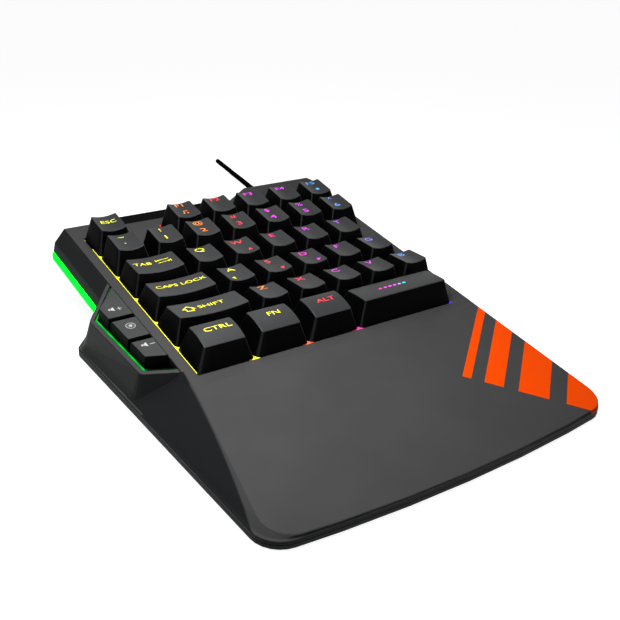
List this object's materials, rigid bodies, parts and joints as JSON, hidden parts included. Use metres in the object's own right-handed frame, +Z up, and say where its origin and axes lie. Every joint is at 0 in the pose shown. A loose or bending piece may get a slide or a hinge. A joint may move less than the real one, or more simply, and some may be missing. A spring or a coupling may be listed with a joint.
{
  "type": "gaming keypad",
  "caption": "One-handed gaming keypad with sculpted membrane keys, a side wing of media keys, a sloped palm rest and a coiled USB cord.",
  "frame": {"origin": "on the desk, under the middle of the case's outline", "axes": "+X to the user's right, +Y away from the user towards the cord, +Z up"},
  "size_m": [0.1858, 0.349, 0.0436],
  "materials": {
    "case_grey": "fine matte",
    "base_black": "matte",
    "cap_black": "satin",
    "rubber_black": "matte",
    "light_green": "lit diffuser",
    "gloss_black": "polished",
    "membrane_film": "clear film",
    "zinc_steel": "zinc plated",
    "board_green": "solder mask",
    "cord_black": "matte jacket",
    "plug_tin": "tin plated",
    "spring_steel": "bare"
  },
  "bodies": {
    "case": {"back_plate": "zinc_steel", "bottom_case": "base_black", "cable": "cord_black", "cable_coil": "cord_black", "controller_board": "board_green", "dome_sheet": "rubber_black", "foot_pad_front_left": "rubber_black", "foot_pad_front_right": "rubber_black", "foot_pad_rear_left": "rubber_black", "foot_pad_rear_right": "rubber_black", "key_plate": "base_black", "media_board": "board_green", "media_light_guide": "light_green", "membrane_circuit": "membrane_film", "plug_grip": "rubber_black", "plug_shell": "plug_tin", "rear_inlay": "gloss_black", "side_light_guide": "light_green", "space_bar_wire": "spring_steel", "strain_relief": "rubber_black", "top_case": "case_grey"},
    "key_1": {"key_1": "cap_black"},
    "key_2": {"key_2": "cap_black"},
    "key_3": {"key_3": "cap_black"},
    "key_4": {"key_4": "cap_black"},
    "key_5": {"key_5": "cap_black"},
    "key_6": {"key_6": "cap_black"},
    "key_a": {"key_a": "cap_black"},
    "key_alt": {"key_alt": "cap_black"},
    "key_b": {"key_b": "cap_black"},
    "key_c": {"key_c": "cap_black"},
    "key_caps_lock": {"key_caps_lock": "cap_black"},
    "key_ctrl": {"key_ctrl": "cap_black"},
    "key_d": {"key_d": "cap_black"},
    "key_e": {"key_e": "cap_black"},
    "key_esc": {"key_esc": "cap_black"},
    "key_f": {"key_f": "cap_black"},
    "key_f1": {"key_f1": "cap_black"},
    "key_f2": {"key_f2": "cap_black"},
    "key_f3": {"key_f3": "cap_black"},
    "key_f4": {"key_f4": "cap_black"},
    "key_f5": {"key_f5": "cap_black"},
    "key_fn": {"key_fn": "cap_black"},
    "key_g": {"key_g": "cap_black"},
    "key_grave": {"key_grave": "cap_black"},
    "key_light": {"key_light": "cap_black"},
    "key_q": {"key_q": "cap_black"},
    "key_r": {"key_r": "cap_black"},
    "key_s": {"key_s": "cap_black"},
    "key_shift": {"key_shift": "cap_black"},
    "key_space": {"key_space": "cap_black"},
    "key_t": {"key_t": "cap_black"},
    "key_tab": {"key_tab": "cap_black"},
    "key_v": {"key_v": "cap_black"},
    "key_volume_down": {"key_volume_down": "cap_black"},
    "key_volume_up": {"key_volume_up": "cap_black"},
    "key_w": {"key_w": "cap_black"},
    "key_x": {"key_x": "cap_black"},
    "key_z": {"key_z": "cap_black"}
  },
  "joints": [
    {"name": "press_1", "type": "slide", "parent": "case", "child": "key_1", "axis": [0, 0.1392, -0.9903], "range_m": [0, 0.0035], "stiffness_N_per_m": 150, "springref_m": -0.002, "deforming": ["dome_sheet"]},
    {"name": "press_2", "type": "slide", "parent": "case", "child": "key_2", "axis": [0, 0.1392, -0.9903], "range_m": [0, 0.0035], "stiffness_N_per_m": 150, "springref_m": -0.002, "deforming": ["dome_sheet"]},
    {"name": "press_3", "type": "slide", "parent": "case", "child": "key_3", "axis": [0, 0.1392, -0.9903], "range_m": [0, 0.0035], "stiffness_N_per_m": 150, "springref_m": -0.002, "deforming": ["dome_sheet"]},
    {"name": "press_4", "type": "slide", "parent": "case", "child": "key_4", "axis": [0, 0.1392, -0.9903], "range_m": [0, 0.0035], "stiffness_N_per_m": 150, "springref_m": -0.002, "deforming": ["dome_sheet"]},
    {"name": "press_5", "type": "slide", "parent": "case", "child": "key_5", "axis": [0, 0.1392, -0.9903], "range_m": [0, 0.0035], "stiffness_N_per_m": 150, "springref_m": -0.002, "deforming": ["dome_sheet"]},
    {"name": "press_6", "type": "slide", "parent": "case", "child": "key_6", "axis": [0, 0.1392, -0.9903], "range_m": [0, 0.0035], "stiffness_N_per_m": 150, "springref_m": -0.002, "deforming": ["dome_sheet"]},
    {"name": "press_a", "type": "slide", "parent": "case", "child": "key_a", "axis": [0, 0.1392, -0.9903], "range_m": [0, 0.0035], "stiffness_N_per_m": 150, "springref_m": -0.002, "deforming": ["dome_sheet"]},
    {"name": "press_alt", "type": "slide", "parent": "case", "child": "key_alt", "axis": [0, 0.1392, -0.9903], "range_m": [0, 0.0035], "stiffness_N_per_m": 150, "springref_m": -0.002, "deforming": ["dome_sheet"]},
    {"name": "press_b", "type": "slide", "parent": "case", "child": "key_b", "axis": [0, 0.1392, -0.9903], "range_m": [0, 0.0035], "stiffness_N_per_m": 150, "springref_m": -0.002, "deforming": ["dome_sheet"]},
    {"name": "press_c", "type": "slide", "parent": "case", "child": "key_c", "axis": [0, 0.1392, -0.9903], "range_m": [0, 0.0035], "stiffness_N_per_m": 150, "springref_m": -0.002, "deforming": ["dome_sheet"]},
    {"name": "press_caps_lock", "type": "slide", "parent": "case", "child": "key_caps_lock", "axis": [0, 0.1392, -0.9903], "range_m": [0, 0.0035], "stiffness_N_per_m": 150, "springref_m": -0.002, "deforming": ["dome_sheet"]},
    {"name": "press_ctrl", "type": "slide", "parent": "case", "child": "key_ctrl", "axis": [0, 0.1392, -0.9903], "range_m": [0, 0.0035], "stiffness_N_per_m": 150, "springref_m": -0.002, "deforming": ["dome_sheet"]},
    {"name": "press_d", "type": "slide", "parent": "case", "child": "key_d", "axis": [0, 0.1392, -0.9903], "range_m": [0, 0.0035], "stiffness_N_per_m": 150, "springref_m": -0.002, "deforming": ["dome_sheet"]},
    {"name": "press_e", "type": "slide", "parent": "case", "child": "key_e", "axis": [0, 0.1392, -0.9903], "range_m": [0, 0.0035], "stiffness_N_per_m": 150, "springref_m": -0.002, "deforming": ["dome_sheet"]},
    {"name": "press_esc", "type": "slide", "parent": "case", "child": "key_esc", "axis": [0, 0.1392, -0.9903], "range_m": [0, 0.0035], "stiffness_N_per_m": 150, "springref_m": -0.002, "deforming": ["dome_sheet"]},
    {"name": "press_f", "type": "slide", "parent": "case", "child": "key_f", "axis": [0, 0.1392, -0.9903], "range_m": [0, 0.0035], "stiffness_N_per_m": 150, "springref_m": -0.002, "deforming": ["dome_sheet"]},
    {"name": "press_f1", "type": "slide", "parent": "case", "child": "key_f1", "axis": [0, 0.1392, -0.9903], "range_m": [0, 0.0035], "stiffness_N_per_m": 150, "springref_m": -0.002, "deforming": ["dome_sheet"]},
    {"name": "press_f2", "type": "slide", "parent": "case", "child": "key_f2", "axis": [0, 0.1392, -0.9903], "range_m": [0, 0.0035], "stiffness_N_per_m": 150, "springref_m": -0.002, "deforming": ["dome_sheet"]},
    {"name": "press_f3", "type": "slide", "parent": "case", "child": "key_f3", "axis": [0, 0.1392, -0.9903], "range_m": [0, 0.0035], "stiffness_N_per_m": 150, "springref_m": -0.002, "deforming": ["dome_sheet"]},
    {"name": "press_f4", "type": "slide", "parent": "case", "child": "key_f4", "axis": [0, 0.1392, -0.9903], "range_m": [0, 0.0035], "stiffness_N_per_m": 150, "springref_m": -0.002, "deforming": ["dome_sheet"]},
    {"name": "press_f5", "type": "slide", "parent": "case", "child": "key_f5", "axis": [0, 0.1392, -0.9903], "range_m": [0, 0.0035], "stiffness_N_per_m": 150, "springref_m": -0.002, "deforming": ["dome_sheet"]},
    {"name": "press_fn", "type": "slide", "parent": "case", "child": "key_fn", "axis": [0, 0.1392, -0.9903], "range_m": [0, 0.0035], "stiffness_N_per_m": 150, "springref_m": -0.002, "deforming": ["dome_sheet"]},
    {"name": "press_g", "type": "slide", "parent": "case", "child": "key_g", "axis": [0, 0.1392, -0.9903], "range_m": [0, 0.0035], "stiffness_N_per_m": 150, "springref_m": -0.002, "deforming": ["dome_sheet"]},
    {"name": "press_grave", "type": "slide", "parent": "case", "child": "key_grave", "axis": [0, 0.1392, -0.9903], "range_m": [0, 0.0035], "stiffness_N_per_m": 150, "springref_m": -0.002, "deforming": ["dome_sheet"]},
    {"name": "press_light", "type": "slide", "parent": "case", "child": "key_light", "axis": [0, 0.1392, -0.9903], "range_m": [0, 0.0012], "stiffness_N_per_m": 400, "springref_m": -0.001},
    {"name": "press_q", "type": "slide", "parent": "case", "child": "key_q", "axis": [0, 0.1392, -0.9903], "range_m": [0, 0.0035], "stiffness_N_per_m": 150, "springref_m": -0.002, "deforming": ["dome_sheet"]},
    {"name": "press_r", "type": "slide", "parent": "case", "child": "key_r", "axis": [0, 0.1392, -0.9903], "range_m": [0, 0.0035], "stiffness_N_per_m": 150, "springref_m": -0.002, "deforming": ["dome_sheet"]},
    {"name": "press_s", "type": "slide", "parent": "case", "child": "key_s", "axis": [0, 0.1392, -0.9903], "range_m": [0, 0.0035], "stiffness_N_per_m": 150, "springref_m": -0.002, "deforming": ["dome_sheet"]},
    {"name": "press_shift", "type": "slide", "parent": "case", "child": "key_shift", "axis": [0, 0.1392, -0.9903], "range_m": [0, 0.0035], "stiffness_N_per_m": 150, "springref_m": -0.002, "deforming": ["dome_sheet"]},
    {"name": "press_space", "type": "slide", "parent": "case", "child": "key_space", "axis": [0, 0.1392, -0.9903], "range_m": [0, 0.0035], "stiffness_N_per_m": 150, "springref_m": -0.002, "deforming": ["dome_sheet"]},
    {"name": "press_t", "type": "slide", "parent": "case", "child": "key_t", "axis": [0, 0.1392, -0.9903], "range_m": [0, 0.0035], "stiffness_N_per_m": 150, "springref_m": -0.002, "deforming": ["dome_sheet"]},
    {"name": "press_tab", "type": "slide", "parent": "case", "child": "key_tab", "axis": [0, 0.1392, -0.9903], "range_m": [0, 0.0035], "stiffness_N_per_m": 150, "springref_m": -0.002, "deforming": ["dome_sheet"]},
    {"name": "press_v", "type": "slide", "parent": "case", "child": "key_v", "axis": [0, 0.1392, -0.9903], "range_m": [0, 0.0035], "stiffness_N_per_m": 150, "springref_m": -0.002, "deforming": ["dome_sheet"]},
    {"name": "press_volume_down", "type": "slide", "parent": "case", "child": "key_volume_down", "axis": [0, 0.1392, -0.9903], "range_m": [0, 0.0012], "stiffness_N_per_m": 400, "springref_m": -0.001},
    {"name": "press_volume_up", "type": "slide", "parent": "case", "child": "key_volume_up", "axis": [0, 0.1392, -0.9903], "range_m": [0, 0.0012], "stiffness_N_per_m": 400, "springref_m": -0.001},
    {"name": "press_w", "type": "slide", "parent": "case", "child": "key_w", "axis": [0, 0.1392, -0.9903], "range_m": [0, 0.0035], "stiffness_N_per_m": 150, "springref_m": -0.002, "deforming": ["dome_sheet"]},
    {"name": "press_x", "type": "slide", "parent": "case", "child": "key_x", "axis": [0, 0.1392, -0.9903], "range_m": [0, 0.0035], "stiffness_N_per_m": 150, "springref_m": -0.002, "deforming": ["dome_sheet"]},
    {"name": "press_z", "type": "slide", "parent": "case", "child": "key_z", "axis": [0, 0.1392, -0.9903], "range_m": [0, 0.0035], "stiffness_N_per_m": 150, "springref_m": -0.002, "deforming": ["dome_sheet"]}
  ]
}
